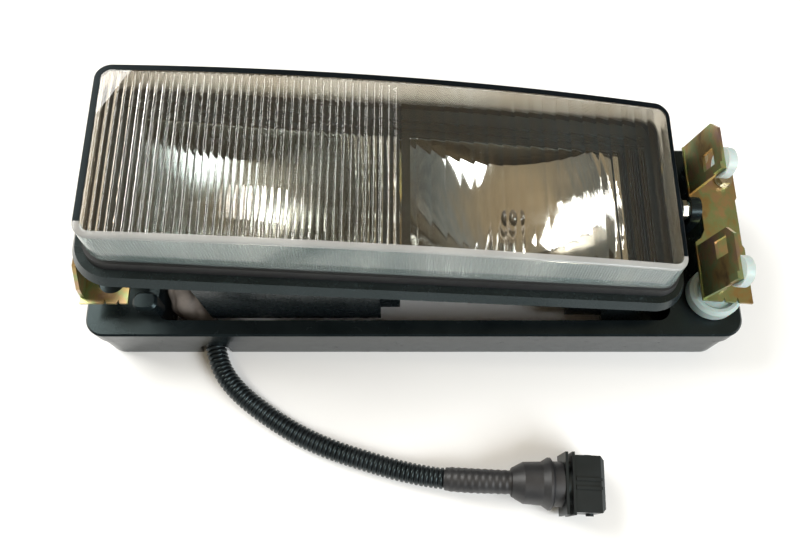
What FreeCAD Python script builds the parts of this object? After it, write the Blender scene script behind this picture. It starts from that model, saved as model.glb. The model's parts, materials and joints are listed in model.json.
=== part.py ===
import FreeCAD, Part
import math
import os
from FreeCAD import Vector

# Twin-chamber fog and driving lamp in a carrier frame, lying on its back.
# Millimetres. +Z is the way the lamp shines, +Y its top side, +X the driving-lamp end.
# Origin: centre of the back plane of the carrier frame, which is the plane it rests on.

# ---------------------------------------------------------------- driving dimensions
FRAME_HALF_X = 203.0        # carrier frame, outside
FRAME_BOTTOM = -73.2
FRAME_TOP = 55.5
FRAME_DEPTH = 43.0
FRAME_BAR = 10.0            # width of the bottom bar
FRAME_TOP_BAR = 6.0
FRAME_ARM = 44.0            # width of the two end arms
FRAME_WALL = 3.0
FRAME_CORNER = 12.0
BAR_END_X = 145.0            # where the straight bars meet the ends
RIGHT_END_SPLIT_Y = -9.5
LIP_BAND = 14.0             # depth of the slightly proud band round the front
LIP_PROUD = 0.7

LENS_LEFT = -174.1          # front outline of the lens
LENS_RIGHT = 154.6
LENS_BOTTOM = -49.5
LENS_TOP_LEFT = 52.4        # the top edge bows up towards the middle
LENS_TOP_MIDDLE = 57.8
LENS_TOP_RIGHT = 58.5
LENS_MIDDLE_X = -8.0        # where the fog and driving halves meet
LENS_CORNER = 9.0
LENS_WALL = 3.0
LENS_DRAFT = 2.6            # how far the walls spread from front to rim
RIGHT_SPREAD = 0.73         # share of any spread that the right side has, to clear the pivot
FACE_LEFT_Z = 144.3         # the front face is one shallow swept-back curve
FACE_MIDDLE_Z = 124.5
FACE_RIGHT_Z = 93.7
RIM_Z = 118.0               # rim plane height at RIM_X
RIM_X = -165.0
RIM_SLOPE = math.tan(math.radians(8.4))

SHELL = 2.5                 # housing wall
LIP_TOP_DROP = 6.0          # lip faces, measured down from the rim plane
LIP_BOTTOM_DROP = 12.0
TRAY_DROP = 20.0
LIP_TOP_GROW = 10.0         # outlines, measured outwards from the lens outline
LIP_BOTTOM_GROW = 13.2
TRAY_GROW = 6.0
SEAL_GROW = 5.6
BODY_BOTTOM = -52.0         # deep part of the housing
BODY_TOP = 46.0
FOG_BOTTOM = -59.0          # the fog chamber is deeper than the driving chamber
BODY_OUTER = [(-176, 97), (-129, 70), (-126.6, 66), (-126.6, 34), (-20.6, 34), (-20.6, 62),
              (18.4, 62), (91.4, 35), (98.5, 32), (98.5, 18), (124.4, 18), (124.4, 57), (153, 62)]
BODY_INNER = [(-173, 98.5), (-127, 72.5), (-124.1, 67.5), (-124.1, 36.5), (-23.1, 36.5),
              (-23.1, 64.5), (19, 64.5), (93.2, 37.2), (101, 34.2), (101, 20.5), (121.9, 20.5),
              (121.9, 59.3), (150, 64.2)]
BREATHER_FOOT = (-45.0, 30.0, 33.0)
CHAMBER_SPLIT_X = -14.0
BEZEL_DROP = 7.6
BEZEL_THICK = 2.0

OPTIC_Y = -3.0              # both reflectors are centred on this height
OPTIC_HALF = 43.0
FOG_X = -96.0
FOG_APEX_Z = 40.0
FOG_FOCAL = 30.0
FOG_SPAN = (-151.0, -16.0)
DRIVING_X = 61.0
DRIVING_APEX_Z = 36.0
DRIVING_FOCAL = 36.0
DRIVING_SPAN = (-2.0, 129.0)
REFLECTOR_WALL = 2.0
LAMPS = {
    "fog": (FOG_X, FOG_APEX_Z, FOG_FOCAL, FOG_SPAN),
    "driving": (DRIVING_X, DRIVING_APEX_Z, DRIVING_FOCAL, DRIVING_SPAN),
}
BULB_HOLE_R = 7.6
CLIP_WIRE_R = 0.8

MOUTH_R = 31.0              # rear openings for changing the bulbs
MOUTH_BORE_R = 28.0
MOUTH_END_Z = 10.0
COVER_BACK_Z = 5.0

PIVOT_Y = -1.0              # the lamp tilts about this line, parallel to X
PIVOT_Z = 70.0
JOURNAL_R = 3.5
RUNNING_GAP = 0.06
PILLAR_SPANS = [(167.0, 173.0), (-171.0, -165.0)]
LEFT_EAR = (-163.5, -157.5)     # the housing's ears, just inside the pillars
RIGHT_EAR = (158.9, 162.4)

STRAP_Z = 60.0              # front face of the bracket straps
STRAP_THICK = 2.0
LUG_LENGTH = 38.0
LUG_LEAN = 12.0             # degrees away from straight forward
LUG_HOLE = 11.0
NUT_DISC_R = 9.2
RIGHT_FOLD_X = 173.4
LEFT_FOLD_X = -200.6
LOWER_LUG = (-54.2, -20.6)
UPPER_LUG = (14.6, 47.9)
BRACKET_POSTS = [(183.0, 40.0), (196.0, 24.0), (-187.0, 38.0), (-187.0, -12.0)]

WHEEL_X = 184.8             # aim adjuster
WHEEL_Y = -47.5
WHEEL_R = 16.0
SPINDLE_R = 4.0
NUT_Z = 22.0                # middle of the groove that the fork rides in
NUT_R = 9.0
NUT_NECK = 11.0
FORK_THICK = 3.0

CONDUIT_R = 6.5
SLEEVE_R = 7.8
SLEEVE_START_X = 19.0
CONDUIT_ROUTE = [
    (-132.7, -59.0, 11.4),
    (-130.3, -68.0, 8.0),
    (-125.0, -86.5, 6.6),
    (-112.5, -101.5, 6.6),
    (-93.5, -115.8, 6.6),
    (-73.5, -128.0, 6.6),
    (-53.0, -137.0, 6.6),
    (-31.0, -144.0, 6.6),
    (-8.0, -150.6, 6.9),
    (13.0, -154.8, 9.6),
    (36.0, -157.0, 14.4),
    (60.0, -157.9, 16.2),
]
PLUG_YAW = -2.3             # degrees; the plug lies almost along X
LEAD_Y = OPTIC_Y
LEAD_Z = 28.3
LEAD_R = 3.8
LEAD_GLAND_R = 5.0
LEAD_POINTS = [(FOG_X - MOUTH_BORE_R + 2, LEAD_Y, LEAD_Z), (-141.0, LEAD_Y, LEAD_Z), (-143.0, -22.0, 29.5),
               (-144.0, -40.0, 31.0)]
GAITER_STATIONS = [             # (y, x, z, radius), from its open end to the frame
    (-28.0, -143.0, 30.0, 11.5),
    (-41.0, -144.0, 31.0, 13.0),
    (-52.0, -141.5, 25.0, 13.0),
    (-58.5, -135.0, 15.5, 11.5),
    (-62.6, -131.4, 10.2, 9.2),
]


# ---------------------------------------------------------------- helpers
def box(x0, x1, y0, y1, z0, z1):
    return Part.makeBox(x1 - x0, y1 - y0, z1 - z0, Vector(x0, y0, z0))


def rod(start, direction, radius, length):
    return Part.makeCylinder(radius, length, Vector(*start), Vector(*direction))


def ring(start, direction, outer, inner, length):
    return rod(start, direction, outer, length).cut(rod(start, direction, inner, length))


def fuse(shapes):
    result = shapes[0]
    for shape in shapes[1:]:
        result = result.fuse(shape)
    return result.removeSplitter()


def prism_along_x(points, x0, x1):
    """Prism from (y, z) points."""
    corners = [Vector(x0, y, z) for y, z in points]
    face = Part.Face(Part.makePolygon(corners + corners[:1]))
    return face.extrude(Vector(x1 - x0, 0, 0))


def prism_along_y(points, y0, y1):
    """Solid whose X-Z section is the polygon, from y0 to y1."""
    corners = [Vector(x, y0, z) for x, z in points]
    face = Part.Face(Part.makePolygon(corners + corners[:1]))
    return face.extrude(Vector(0, y1 - y0, 0))


def prism_along_z(points, z0, z1):
    """Solid whose X-Y section is the polygon, from z0 to z1."""
    corners = [Vector(x, y, z0) for x, y in points]
    face = Part.Face(Part.makePolygon(corners + corners[:1]))
    return face.extrude(Vector(0, 0, z1 - z0))


def rounded_box(x0, x1, y0, y1, z0, z1, radius):
    """Box with its four upright edges rounded."""
    solid = box(x0, x1, y0, y1, z0, z1)
    upright = [e for e in solid.Edges if abs(e.tangentAt(0).z) > 0.9]
    return solid.makeFillet(radius, upright)


def chamfer_where(solid, size, wanted):
    edges = [e for e in solid.Edges if wanted(e)]
    return solid.makeChamfer(size, edges)


def revolve(profile, origin, axis):
    """Closed (distance along axis, radius) profile turned about the axis from the origin."""
    axis = Vector(*axis)
    side = Vector(0, 1, 0) if abs(axis.x) > 0.5 else Vector(1, 0, 0)
    points = [Vector(*origin) + axis * along + side * radius for along, radius in profile]
    face = Part.Face(Part.makePolygon(points + points[:1]))
    return face.revolve(Vector(*origin), axis, 360)


def route_radii(points):
    """Bend radius at each inner point: as large as its two runs allow."""
    radii = []
    for before, here, after in zip(points, points[1:], points[2:]):
        run_in = Vector(*here) - Vector(*before)
        run_out = Vector(*after) - Vector(*here)
        half_turn = run_in.getAngle(run_out) / 2
        radii.append(0.45 * min(run_in.Length, run_out.Length) / math.tan(half_turn))
    return radii


def route_wire(points, radii):
    """Straight runs joined by tangent arcs."""
    edges = []
    last = Vector(*points[0])
    for index, radius in enumerate(radii):
        here = Vector(*points[index + 1])
        back = (Vector(*points[index]) - here).normalize()
        ahead = (Vector(*points[index + 2]) - here).normalize()
        half_turn = (math.pi - back.getAngle(ahead)) / 2
        reach = radius * math.tan(half_turn)
        inward = (back + ahead).normalize()
        start = here + back * reach
        end = here + ahead * reach
        middle = here + inward * (radius / math.cos(half_turn) - radius)
        edges.append(Part.LineSegment(last, start).toShape())
        edges.append(Part.Arc(start, middle, end).toShape())
        last = end
    edges.append(Part.LineSegment(last, Vector(*points[-1])).toShape())
    return Part.Wire(edges)


def tube_along(wire, radius):
    start = wire.Edges[0].Vertexes[0].Point
    direction = wire.Edges[0].tangentAt(wire.Edges[0].FirstParameter)
    circle = Part.Wire(Part.Circle(start, direction, radius).toShape())
    return wire.makePipeShell([circle], True, True)


# ---------------------------------------------------------------- lamp surfaces
def rim_height(x):
    return RIM_Z - RIM_SLOPE * (x - RIM_X)


def outline(grow, height):
    """Lens outline, grown outwards, with every point lifted to height(x)."""
    left, right = LENS_LEFT - grow, LENS_RIGHT + RIGHT_SPREAD * grow
    bottom = LENS_BOTTOM - grow
    top_left, top_right = LENS_TOP_LEFT + grow, LENS_TOP_RIGHT + grow
    r = max(LENS_CORNER + grow, 2.0)
    bend = r * (1 - math.sqrt(0.5))

    def at(x, y):
        return Vector(x, y, height(x))

    def line(a, b):
        return Part.LineSegment(at(*a), at(*b)).toShape()

    def arc(a, m, b):
        return Part.Arc(at(*a), at(*m), at(*b)).toShape()

    return Part.Wire([
        line((left + r, bottom), (right - r, bottom)),
        arc((right - r, bottom), (right - bend, bottom + bend), (right, bottom + r)),
        line((right, bottom + r), (right, top_right - r)),
        arc((right, top_right - r), (right - bend, top_right - bend), (right - r, top_right)),
        arc((right - r, top_right), (LENS_MIDDLE_X, LENS_TOP_MIDDLE + grow), (left + r, top_left)),
        arc((left + r, top_left), (left + bend, top_left - bend), (left, top_left - r)),
        line((left, top_left - r), (left, bottom + r)),
        arc((left, bottom + r), (left + bend, bottom + bend), (left + r, bottom)),
    ])


def rim_slab(low, high, grow_low, grow_high):
    """Lofted slab between two planes parallel to the rim, given as offsets from it."""
    lower = outline(grow_low, lambda x: rim_height(x) + low)
    upper = outline(grow_high, lambda x: rim_height(x) + high)
    return Part.makeLoft([lower, upper], True, True)


def face_circle():
    """Centre (x, z) and radius of the curve of the front face, seen from below."""
    (ax, az) = (LENS_LEFT, FACE_LEFT_Z)
    (bx, bz) = (LENS_MIDDLE_X, FACE_MIDDLE_Z)
    (cx, cz) = (LENS_RIGHT, FACE_RIGHT_Z)
    det = 2 * (ax * (bz - cz) + bx * (cz - az) + cx * (az - bz))
    sa, sb, sc = ax * ax + az * az, bx * bx + bz * bz, cx * cx + cz * cz
    x = (sa * (bz - cz) + sb * (cz - az) + sc * (az - bz)) / det
    z = (sa * (cx - bx) + sb * (ax - cx) + sc * (bx - ax)) / det
    return x, z, math.hypot(ax - x, az - z)


def behind_face(inset):
    """Everything behind the front face, moved in by inset."""
    x, z, radius = face_circle()
    return rod((x, -100, z), (0, 1, 0), radius - inset, 200)


def lens_body(grow, inset):
    def above_face(x):
        share = (x - LENS_LEFT) / (LENS_RIGHT - LENS_LEFT)
        return FACE_LEFT_Z + share * (FACE_RIGHT_Z - FACE_LEFT_Z) + 8

    back = outline(grow + LENS_DRAFT, rim_height)
    front = outline(grow, above_face)
    return Part.makeLoft([back, front], True, True).common(behind_face(inset))


def above_paraboloid(axis_x, apex_z, focal):
    """Everything in front of a paraboloid of the given apex and focal length."""
    reach, top = 125.0, 160.0
    radii = [reach * step / 12 for step in range(13)]
    curve = Part.BSplineCurve()
    curve.interpolate([Vector(axis_x + r, OPTIC_Y, apex_z + r * r / (4 * focal)) for r in radii])
    start, end = curve.StartPoint, curve.EndPoint
    ceiling = max(end.z + 1, top)
    inner_top = Vector(axis_x, OPTIC_Y, ceiling)
    outer_top = Vector(end.x, OPTIC_Y, ceiling)
    edges = [
        curve.toShape(),
        Part.LineSegment(end, outer_top).toShape(),
        Part.LineSegment(outer_top, inner_top).toShape(),
        Part.LineSegment(inner_top, start).toShape(),
    ]
    return Part.Face(Part.Wire(edges)).revolve(Vector(axis_x, OPTIC_Y, 0), Vector(0, 0, 1), 360)


def below_bezel():
    """Everything behind the back face of the bezel."""
    drop = BEZEL_DROP + BEZEL_THICK
    left, right = -190.0, 170.0
    points = [(left, 0), (right, 0), (right, rim_height(right) - drop), (left, rim_height(left) - drop)]
    return prism_along_y(points, -80, 80)


# ---------------------------------------------------------------- carrier frame
def arm_inner_x(side):
    return side * (FRAME_HALF_X - FRAME_ARM)


def frame_block(shrink, z0, z1, radius):
    """Rounded block with the frame's outline, shrunk on every side."""
    return rounded_box(-FRAME_HALF_X + shrink, FRAME_HALF_X - shrink,
                       FRAME_BOTTOM + shrink, FRAME_TOP - shrink, z0, z1, radius)


def opening_block(grow, z1, radius):
    """Rounded block with the outline of the frame's opening, grown on every side."""
    left, right = arm_inner_x(-1) - grow, arm_inner_x(1) + grow
    low, high = FRAME_BOTTOM + FRAME_BAR - grow, FRAME_TOP - FRAME_TOP_BAR + grow
    return rounded_box(left, right, low, high, -1, z1, radius)


def carrier_frame():
    band_z = FRAME_DEPTH - LIP_BAND
    lower = frame_block(LIP_PROUD, 0, band_z, FRAME_CORNER)
    band = frame_block(0, band_z, FRAME_DEPTH, FRAME_CORNER)
    band = chamfer_where(band, 1.2, lambda e: e.BoundBox.ZMin > FRAME_DEPTH - 0.01)
    opening = opening_block(0, FRAME_DEPTH + 1, 8)
    inner_wall = opening_block(2.5, FRAME_DEPTH, 10)
    top_bar = box(-BAR_END_X, BAR_END_X, 0, FRAME_TOP, -1, FRAME_DEPTH)
    hollow = frame_block(FRAME_WALL, -1, FRAME_DEPTH - FRAME_WALL, FRAME_CORNER - FRAME_WALL).cut(top_bar)
    frame = lower.fuse(band).cut(opening).cut(hollow.cut(inner_wall))
    additions = [frame]
    for side in (-1, 1):
        for y in (-8.0, 8.0, 30.0):
            outer, inner = side * (FRAME_HALF_X - 1), arm_inner_x(side) + side
            additions.append(box(min(outer, inner), max(outer, inner), y, y + 2, 0, 41))
    for x, y in BRACKET_POSTS:
        additions.append(rod((x, y, 30), (0, 0, 1), 6, STRAP_Z - STRAP_THICK - 30))
    additions.append(corner_pillar())
    additions.extend(pivot_pillar(x0, x1) for x0, x1 in PILLAR_SPANS)
    frame = fuse(additions)
    for x, y in BRACKET_POSTS:
        frame = frame.cut(rod((x, y, 34), (0, 0, 1), 2.2, 40))
    for x0, x1 in PILLAR_SPANS:
        frame = frame.cut(rod((x0 - 1, PIVOT_Y, PIVOT_Z), (1, 0, 0), 5, x1 - x0 + 2))
    spindle_hole = rod((WHEEL_X, WHEEL_Y, 30), (0, 0, 1), SPINDLE_R + RUNNING_GAP, 20)
    inner_x = arm_inner_x(1)
    fork_window = box(inner_x - 9, inner_x + 4, -64, -30, 10, 34)
    exit_x, exit_z = CONDUIT_ROUTE[1][0] + 0.7, 8.6
    exit_r = CONDUIT_R + 2.8
    exit_slot = rod((exit_x, -60, exit_z), (0, -1, 0), exit_r, 20)
    exit_mouth = box(exit_x - exit_r, exit_x + exit_r, -80, -60, -1, exit_z)
    return frame.cut(fuse([spindle_hole, fork_window])).cut(exit_slot.fuse(exit_mouth))


def frame_sections():
    """The frame in five pieces: two ends, the right one halved, and two bars between them."""
    frame = carrier_frame()
    end, far = BAR_END_X, FRAME_HALF_X + 1
    low, high, tall = FRAME_BOTTOM - 1, FRAME_TOP + 1, PIVOT_Z + 20
    return {
        "frame_left_end": frame.common(box(-far, -end, low, high, -1, tall)),
        "frame_right_lower": frame.common(box(end, far, low, RIGHT_END_SPLIT_Y, -1, tall)),
        "frame_right_upper": frame.common(box(end, far, RIGHT_END_SPLIT_Y, high, -1, tall)),
        "frame_top_bar": frame.common(box(-end, end, 0, high, -1, tall)),
        "frame_bottom_bar": frame.common(box(-end, end, low, 0, -1, tall)),
    }


def corner_pillar():
    """Rounded pillar beside the left strap."""
    pillar = rounded_box(-170.5, -155.5, -60.5, -49.0, FRAME_DEPTH - 3, 57, 5)
    return chamfer_where(pillar, 1.5, lambda e: e.BoundBox.ZMin > 56.9)


def pivot_pillar(x0, x1):
    half = 8.0
    post = box(x0, x1, PIVOT_Y - half, PIVOT_Y + half, FRAME_DEPTH - 3, PIVOT_Z)
    return post.fuse(rod((x0, PIVOT_Y, PIVOT_Z), (1, 0, 0), half, x1 - x0))


def pivot_bushes():
    """Two flanged bushes pressed in the pillars."""
    bore = JOURNAL_R + RUNNING_GAP
    bushes = []
    for x0, x1 in PILLAR_SPANS:
        bushes.append(ring((x0, PIVOT_Y, PIVOT_Z), (1, 0, 0), 5, bore, x1 - x0))
    return Part.makeCompound(bushes)


# ---------------------------------------------------------------- brackets
def lug(fold_x, y0, y1, hole_y, cut_corner):
    """Ear bent forward from the strap's left edge, leaning towards +X, with a square hole."""
    plate = box(0, STRAP_THICK, y0, y1, 0, LUG_LENGTH)
    if cut_corner:
        corner = [(y0 - 1, 0.42 * LUG_LENGTH), (y0 + 8, LUG_LENGTH + 1), (y0 - 1, LUG_LENGTH + 1)]
        plate = plate.cut(prism_along_x(corner, -1, STRAP_THICK + 1))
    else:
        edge = [e for e in plate.Edges
                if abs(e.CenterOfMass.y - y1) < 0.01 and e.CenterOfMass.z > LUG_LENGTH - 0.01]
        plate = plate.makeChamfer(6, edge)
    hole_z = 0.66 * LUG_LENGTH
    half = LUG_HOLE / 2
    plate = plate.cut(box(-1, 3, hole_y - half, hole_y + half, hole_z - half, hole_z + half))
    if not cut_corner:
        plate = plate.fuse(box(-1.5, 1, y0, y0 + 4.5, LUG_LENGTH - 8, LUG_LENGTH))
    plate.rotate(Vector(0, 0, 0), Vector(0, 1, 0), LUG_LEAN)
    plate.translate(Vector(fold_x, 0, STRAP_Z - STRAP_THICK))
    foot = box(fold_x, fold_x + STRAP_THICK, y0, y1, STRAP_Z - STRAP_THICK, STRAP_Z)
    return plate.fuse(foot)


def strap(points, holes):
    plate = prism_along_z(points, STRAP_Z - STRAP_THICK, STRAP_Z)
    for x, y, radius in holes:
        plate = plate.cut(rod((x, y, STRAP_Z - 5), (0, 0, 1), radius, 8))
    return plate


def edge_notches(x, y):
    """Two small punched notches in the strap's bottom edge."""
    return fuse([prism_along_z([(x + dx - 1.6, y - 2), (x + dx + 1.6, y - 2), (x + dx, y + 2.6)], 50, 70)
                 for dx in (-4.0, 4.0)])


def bracket_right():
    """Strap with two lugs on its inner edge, cut back round the pivot pillar."""
    fold, edge = RIGHT_FOLD_X, FRAME_HALF_X
    points = [(fold, -55.2), (edge, -57.6), (edge, -22), (edge - 1.2, -20), (edge - 1.2, 10),
              (edge, 12), (edge, 48), (fold, 48), (fold, 13), (fold + 4, 11), (fold + 6.5, 4),
              (fold + 6.5, -10), (fold + 4, -15), (fold, -18)]
    holes = [(x, y, 2.75) for x, y in BRACKET_POSTS if x > 0]
    holes.append((WHEEL_X, WHEEL_Y, 3 + RUNNING_GAP))
    plate = strap(points, holes).cut(edge_notches(190, -56.4))
    lower = lug(fold, *LOWER_LUG, -30.5, False)
    upper = lug(fold, *UPPER_LUG, 26.5, False)
    return fuse([plate, lower, upper])


def bracket_left():
    """The matching strap at the other end, with one lug and a large round hole."""
    fold = LEFT_FOLD_X
    inner = -171.8
    points = [(fold, -57.6), (inner, -57.6), (inner, 48), (fold, 48)]
    holes = [(x, y, 2.75) for x, y in BRACKET_POSTS if x < 0]
    holes.append((-182.8, -43.0, 8.3))
    plate = strap(points, holes).cut(edge_notches(-181.5, -57.6))
    ear = lug(fold, *LOWER_LUG, -32.0, True)
    return fuse([plate, ear])


def bracket_screws():
    """Flanged hexagon screws that hold the straps on the frame's posts."""
    screws = []
    for x, y in BRACKET_POSTS:
        corners = [(x + 4.6 * math.cos(math.radians(60 * k)), y + 4.6 * math.sin(math.radians(60 * k)))
                   for k in range(6)]
        head = prism_along_z(corners, STRAP_Z + 1, STRAP_Z + 4.5)
        flange = rod((x, y, STRAP_Z), (0, 0, 1), 5.5, 1.2)
        shank = rod((x, y, STRAP_Z - 22), (0, 0, 1), 2.2, 22)
        screws.append(fuse([flange, head, shank]))
    return Part.makeCompound(screws)


def lug_nut(y_low):
    """Round nylon nut on the outer face of a lug, proud of its lower front corner."""
    y, z = y_low + 6.5, 0.87 * LUG_LENGTH
    nut = rod((STRAP_THICK, y, z), (1, 0, 0), NUT_DISC_R, 6.5)
    nut = chamfer_where(nut, 1.2, lambda e: e.BoundBox.XMin > STRAP_THICK + 6.4)
    nut = nut.cut(rod((STRAP_THICK - 1, y, z), (1, 0, 0), 2.4, 10))
    nut.rotate(Vector(0, 0, 0), Vector(0, 1, 0), LUG_LEAN)
    nut.translate(Vector(RIGHT_FOLD_X, 0, STRAP_Z - STRAP_THICK))
    return nut


# ---------------------------------------------------------------- aim adjuster
def adjuster_wheel():
    """Nylon thumbwheel with a dished front, between the frame and the strap."""
    profile = [(0.5, 4), (0.5, WHEEL_R - 1.5), (2, WHEEL_R), (9.5, WHEEL_R), (11.5, WHEEL_R - 2),
               (11.5, WHEEL_R - 4), (9.5, WHEEL_R - 5.5), (9.5, 7.5), (14, 6.5), (14, 4)]
    return revolve(profile, (WHEEL_X, WHEEL_Y, FRAME_DEPTH), (0, 0, 1))


def adjuster_spindle():
    """Threaded spindle, fixed in the wheel, steadied by the strap at its front end."""
    shank = rod((WHEEL_X, WHEEL_Y, 6), (0, 0, 1), SPINDLE_R, FRAME_DEPTH + 14 - 6)
    stub = rod((WHEEL_X, WHEEL_Y, FRAME_DEPTH + 10), (0, 0, 1), 3, 9.5)
    return fuse([shank, stub])


def adjuster_nut():
    """Grooved nylon nut that climbs the spindle and carries the fork."""
    half_groove = 2.6
    low = rod((WHEEL_X, WHEEL_Y, NUT_Z - half_groove - 4.5), (0, 0, 1), NUT_R, 4.5)
    high = rod((WHEEL_X, WHEEL_Y, NUT_Z + half_groove), (0, 0, 1), NUT_R, 3.5)
    half = NUT_NECK / 2
    neck = box(WHEEL_X - half, WHEEL_X + half, WHEEL_Y - half, WHEEL_Y + half,
               NUT_Z - half_groove - 1, NUT_Z + half_groove + 1)
    bore = rod((WHEEL_X, WHEEL_Y, 0), (0, 0, 1), SPINDLE_R + RUNNING_GAP, 40)
    return fuse([low, neck, high]).cut(bore)


def fork_arm():
    """Flat arm from the housing's end wall, with a slot that rides in the nut's groove."""
    z0, z1 = NUT_Z - FORK_THICK / 2, NUT_Z + FORK_THICK / 2
    arm = rounded_box(121, 197, -59.2, -35, z0, z1, 4)
    rib = box(123, 150, -48.5, -46, z1 - 1, 33)
    half_x, half_y = NUT_NECK / 2 + 0.5, NUT_NECK / 2 + 4.6
    slot = box(WHEEL_X - half_x, WHEEL_X + half_x, WHEEL_Y - half_y, WHEEL_Y + half_y, 0, 40)
    return fuse([arm, rib]).cut(slot)


# ---------------------------------------------------------------- housing
def body_section(points):
    """X-Z section of the deep part of the housing, closed just behind the lip."""
    left, right = points[0][0], points[-1][0]
    front = [(right, rim_height(right) - LIP_TOP_DROP - 1), (left, rim_height(left) - LIP_TOP_DROP - 1)]
    return points + front


def dish_room(lamp, side_gap, back_gap):
    """The space round one reflector, larger than it by the given gaps."""
    axis_x, apex_z, focal, (x0, x1) = lamp
    y0, y1 = OPTIC_Y - OPTIC_HALF, OPTIC_Y + OPTIC_HALF
    room = box(x0 - side_gap, x1 + side_gap, y0 - side_gap, y1 + side_gap, 0, 160)
    room = room.common(above_paraboloid(axis_x, apex_z - back_gap, focal))
    left, right = x0 - side_gap - 1, x1 + side_gap + 1
    drop = LIP_TOP_DROP + 1
    behind_lip = prism_along_y([(left, 0), (right, 0), (right, rim_height(right) - drop),
                                (left, rim_height(left) - drop)], -80, 80)
    return room.common(behind_lip)


def rear_mouth(axis_x, top_z):
    """Round neck behind a bulb, with three outward tabs for the cover's hooks."""
    neck = rod((axis_x, OPTIC_Y, MOUTH_END_Z), (0, 0, 1), MOUTH_R, top_z - MOUTH_END_Z)
    tabs = [arc_block(axis_x, MOUTH_R - 1, MOUTH_R + 2.2, 18, 20, 120 * k, 40) for k in range(3)]
    return fuse([neck] + tabs)


def arc_block(axis_x, inner, outer, z0, z1, start_deg, sweep_deg):
    """Part of a ring about a bulb axis."""
    corners = [Vector(axis_x + inner, OPTIC_Y, z0), Vector(axis_x + outer, OPTIC_Y, z0),
               Vector(axis_x + outer, OPTIC_Y, z1), Vector(axis_x + inner, OPTIC_Y, z1)]
    face = Part.Face(Part.makePolygon(corners + corners[:1]))
    axis_foot, up = Vector(axis_x, OPTIC_Y, 0), Vector(0, 0, 1)
    block = face.revolve(axis_foot, up, sweep_deg)
    block.rotate(axis_foot, up, start_deg - sweep_deg / 2)
    return block


def fog_keel(shrink, low, high):
    """Block that makes the fog chamber deeper, up to the underside of the tray."""
    left, right, back = -126.6 + shrink, -20.6 - shrink, 34 + shrink
    top = 1 - TRAY_DROP - shrink
    outline = [(left, back), (right, back), (right, rim_height(right) + top), (left, rim_height(left) + top)]
    return prism_along_y(outline, low, high)


def housing():
    lip = rim_slab(-LIP_BOTTOM_DROP, -LIP_TOP_DROP, LIP_BOTTOM_GROW, LIP_TOP_GROW)
    tray = rim_slab(-TRAY_DROP, -LIP_TOP_DROP - 1, TRAY_GROW - 2, TRAY_GROW)
    deep = prism_along_y(body_section(BODY_OUTER), BODY_BOTTOM, BODY_TOP)
    keel = fog_keel(0, FOG_BOTTOM, BODY_BOTTOM + 1)
    wall, gap = REFLECTOR_WALL, 0.3
    domes = [dish_room(lamp, wall + gap + SHELL, wall + gap + SHELL) for lamp in LAMPS.values()]
    mouths = [rear_mouth(lamp[0], lamp[1] + 9) for lamp in LAMPS.values()]
    boss = box(-21.6, -8.6, BODY_BOTTOM - 3.5, BODY_BOTTOM + 8, 46, 66)
    ears = []
    for (x0, x1), radius, root_z in ((LEFT_EAR, 8, 93), (RIGHT_EAR, 7, 60)):
        low, high = min(root_z, PIVOT_Z), max(root_z, PIVOT_Z)
        ears.append(box(x0, x1, PIVOT_Y - radius, PIVOT_Y + radius, low, high))
        ears.append(rod((x0, PIVOT_Y, PIVOT_Z), (1, 0, 0), radius, x1 - x0))
    left_web = box(LEFT_EAR[1] - 0.5, FOG_SPAN[0] - wall, PIVOT_Y - 8, PIVOT_Y + 8, 72, 93)
    solid = fuse([lip, tray, deep, keel] + domes + mouths + [boss, left_web, fork_arm()] + ears)

    tray_room = rim_slab(-TRAY_DROP + SHELL, 1, TRAY_GROW - 2 - SHELL, TRAY_GROW - SHELL)
    rooms = [tray_room, prism_along_y(body_section(BODY_INNER), BODY_BOTTOM + SHELL, BODY_TOP - SHELL)]
    rooms.append(fog_keel(SHELL, FOG_BOTTOM + SHELL, BODY_BOTTOM + SHELL + 1))
    for lamp in LAMPS.values():
        rooms.append(dish_room(lamp, wall + gap, wall + gap))
        rooms.append(rod((lamp[0], OPTIC_Y, 0), (0, 0, 1), MOUTH_BORE_R, lamp[1] + 6))
    for x0, x1 in (LEFT_EAR, RIGHT_EAR):
        rooms.append(rod((x0 - 1, PIVOT_Y, PIVOT_Z), (1, 0, 0), 3, x1 - x0 + 1))
    rooms.append(rod((FOG_X - MOUTH_R - 2, LEAD_Y, LEAD_Z), (1, 0, 0), LEAD_GLAND_R, 6))
    rooms.append(rod(BREATHER_FOOT, (0, 0, 1), 3.5, 5))
    for room in rooms:
        solid = solid.cut(room)
    return solid


def housing_sections():
    """The housing in five pieces: rim, two chambers and the two rear necks."""
    whole = housing()
    behind_rim = prism_along_y([(-200, -5), (200, -5), (200, rim_height(200) - TRAY_DROP + SHELL),
                                (-200, rim_height(-200) - TRAY_DROP + SHELL)], -80, 80)
    behind_body = prism_along_y([(-200, -5), (200, -5), (200, 0), (98.5, 32), (91.4, 35), (18.4, 62),
                                 (CHAMBER_SPLIT_X, 62), (CHAMBER_SPLIT_X, 34), (-200, 34)], -80, 80)
    chambers = whole.common(behind_rim)
    sections = {"housing_rim": whole.cut(behind_rim)}
    for name, (axis_x, apex_z, focal, span) in LAMPS.items():
        neck_room = rod((axis_x, OPTIC_Y, 0), (0, 0, 1), MOUTH_R + 3, 80).common(behind_body)
        sections[name + "_neck"] = chambers.common(neck_room)
        chambers = chambers.cut(neck_room)
    sections["fog_chamber"] = chambers.common(box(-200, CHAMBER_SPLIT_X, -80, 80, 0, 160))
    sections["driving_chamber"] = chambers.common(box(CHAMBER_SPLIT_X, 200, -80, 80, 0, 160))
    return sections


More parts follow.
